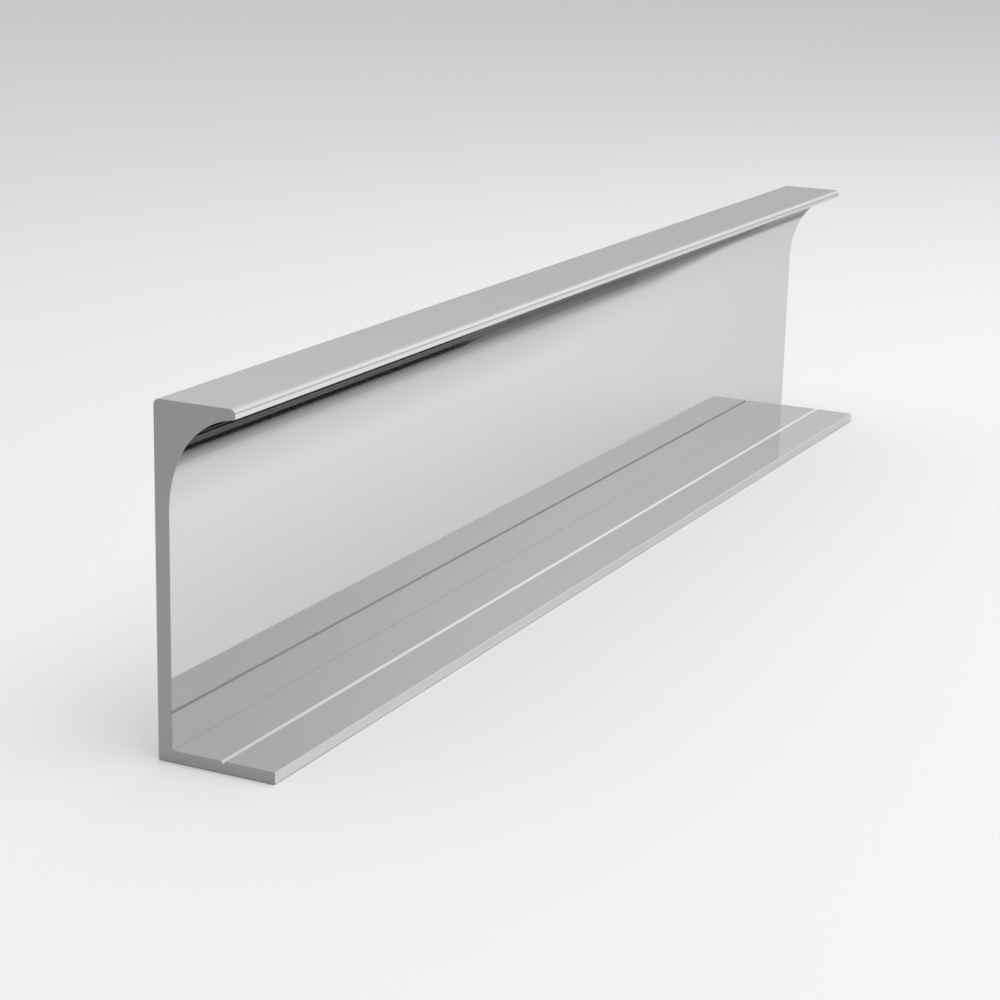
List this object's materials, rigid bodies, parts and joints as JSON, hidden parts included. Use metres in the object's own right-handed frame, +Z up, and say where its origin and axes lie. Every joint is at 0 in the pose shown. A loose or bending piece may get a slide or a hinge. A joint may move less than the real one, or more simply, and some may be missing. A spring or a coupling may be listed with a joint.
{
  "type": "finger pull profile",
  "caption": "Length of bright aluminium C-profile with a deep flat flange, a coved lip and a drill line, let in between cabinet fronts as a handleless finger pull.",
  "frame": {"origin": "middle of the underside of the flange", "axes": "+X along the length, -Y out of the open side towards the user, +Z up from the flange to the lip"},
  "size_m": [0.345, 0.0264, 0.072],
  "materials": {
    "bright_aluminium": "polished and clear anodised along the length, dull where sawn"
  },
  "bodies": {
    "root": {"pull_profile": "bright_aluminium"}
  },
  "joints": []
}
